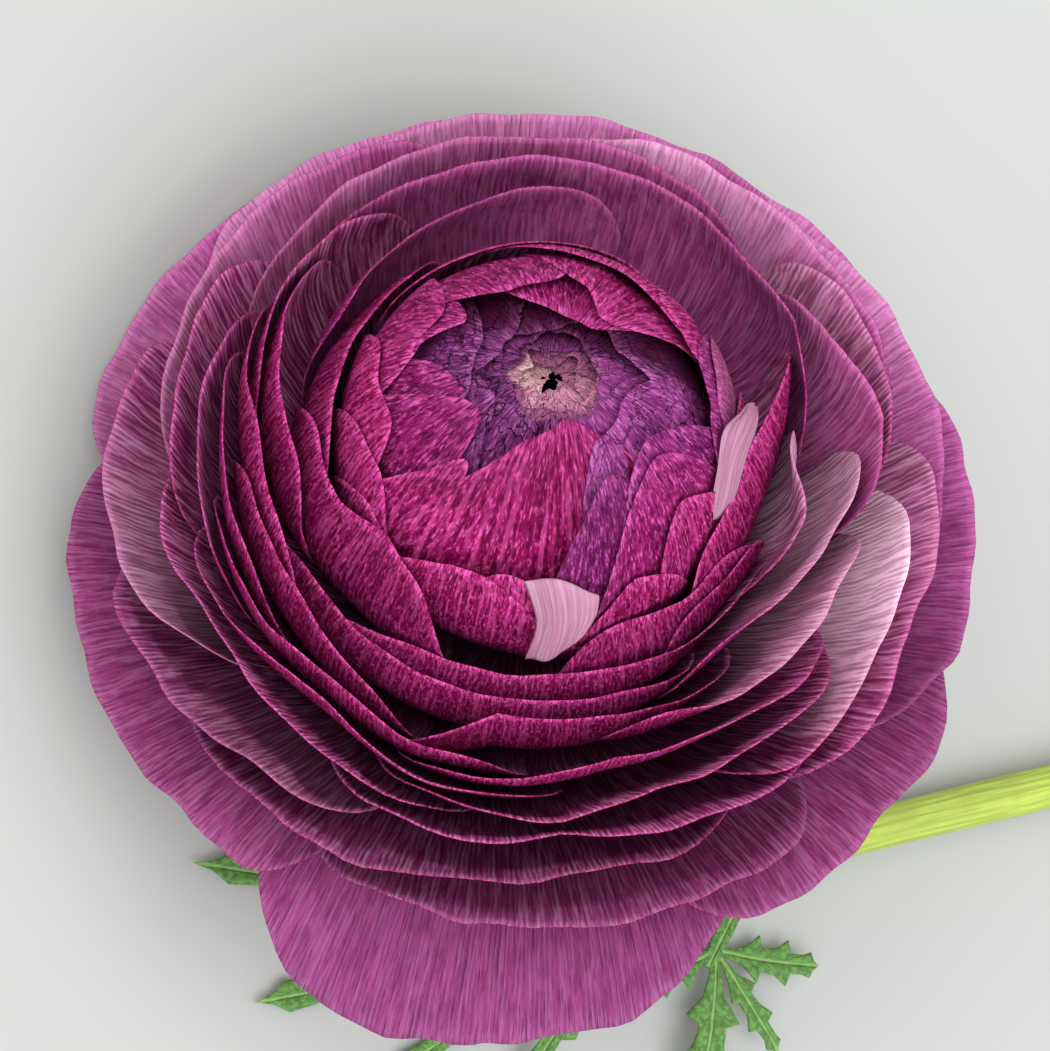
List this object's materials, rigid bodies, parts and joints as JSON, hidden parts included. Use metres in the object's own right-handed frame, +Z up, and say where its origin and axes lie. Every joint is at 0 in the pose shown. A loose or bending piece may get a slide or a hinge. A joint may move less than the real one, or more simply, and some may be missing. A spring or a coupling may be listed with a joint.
{
  "type": "ranunculus flower",
  "caption": "Open ranunculus bloom as picked, lying down: a dense ball of folded petals inside wide rippled rings, a green calyx, a bent cut stem and deeply cut leaves.",
  "frame": {"origin": "on the surface the flower lies on, under the middle of its bounding box", "axes": "+Z up from the surface, +X along the lying stem towards its cut end, +Y towards the side that the bloom leans to"},
  "size_m": [0.1312, 0.1096, 0.0597],
  "materials": {
    "inner_petal": "soft satin petal, saturated magenta with lighter streaks",
    "outer_petal": "soft satin petal, mauve with darker fan veins and lighter rims",
    "eye_petal": "matte pale pink, furled",
    "sepal": "matte green",
    "stem": "smooth yellow-green, satin",
    "leaf": "matte green"
  },
  "bodies": {
    "root": {"inner_petals": "inner_petal", "outer_petals": "outer_petal", "eye": "eye_petal", "calyx": "sepal", "stem": "stem", "leaf_left": "leaf", "leaf_right": "leaf"}
  },
  "joints": []
}
